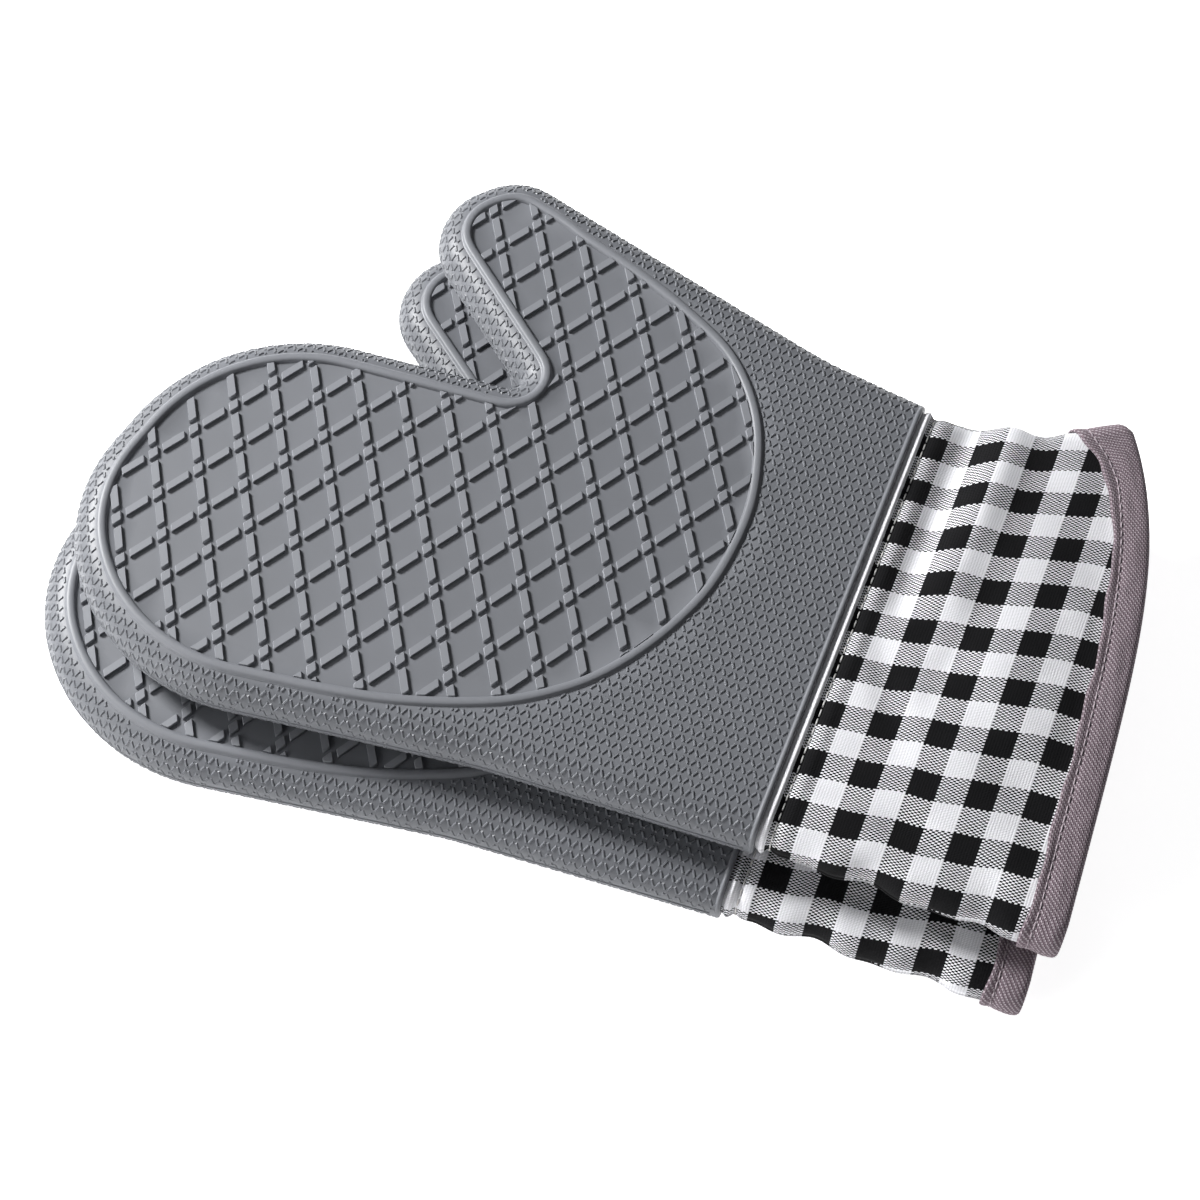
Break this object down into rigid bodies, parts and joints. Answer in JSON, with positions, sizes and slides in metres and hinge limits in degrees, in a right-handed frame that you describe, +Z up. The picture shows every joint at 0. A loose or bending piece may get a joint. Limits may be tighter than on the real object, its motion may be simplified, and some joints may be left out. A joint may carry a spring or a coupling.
{
  "type": "oven mitt pair",
  "caption": "Silicone oven mitts with woven cotton cuffs, laid one on the other; the upper mitt lifts off.",
  "frame": {"origin": "middle of the pair's footprint, on the surface it lies on", "axes": "+X from fingertips to cuff, +Y towards the thumbs, +Z up through the stacked mitts"},
  "size_m": [0.3422, 0.2388, 0.0403],
  "materials": {
    "grey_silicone": "moulded silicone rubber, satin, with raised grip lattice and fine diamond knurl",
    "polyester_wadding": "needled polyester wadding, matt and fibrous",
    "white_cotton": "plain woven cotton, matt",
    "gingham_cotton": "yarn-dyed black and white checked cotton, plain weave, matt",
    "mauve_twill": "folded twill tape, matt",
    "sewing_thread": "spun polyester sewing thread"
  },
  "bodies": {
    "lower_mitt": {"lower_binding_stitching": "sewing_thread", "lower_cuff_back": "gingham_cotton", "lower_cuff_front": "gingham_cotton", "lower_cuff_lining": "white_cotton", "lower_cuff_stitching": "sewing_thread", "lower_hem_binding": "mauve_twill", "lower_lining_back": "white_cotton", "lower_lining_palm": "white_cotton", "lower_silicone_shell": "grey_silicone", "lower_wadding_back": "polyester_wadding", "lower_wadding_palm": "polyester_wadding"},
    "upper_mitt": {"upper_binding_stitching": "sewing_thread", "upper_cuff_back": "gingham_cotton", "upper_cuff_front": "gingham_cotton", "upper_cuff_lining": "white_cotton", "upper_cuff_stitching": "sewing_thread", "upper_hem_binding": "mauve_twill", "upper_lining_back": "white_cotton", "upper_lining_palm": "white_cotton", "upper_silicone_shell": "grey_silicone", "upper_wadding_back": "polyester_wadding", "upper_wadding_palm": "polyester_wadding"}
  },
  "joints": [
    {"name": "upper_mitt_lift", "type": "slide", "parent": "lower_mitt", "child": "upper_mitt", "axis": [0, 0, 1], "range_m": [0, 0.15]}
  ]
}
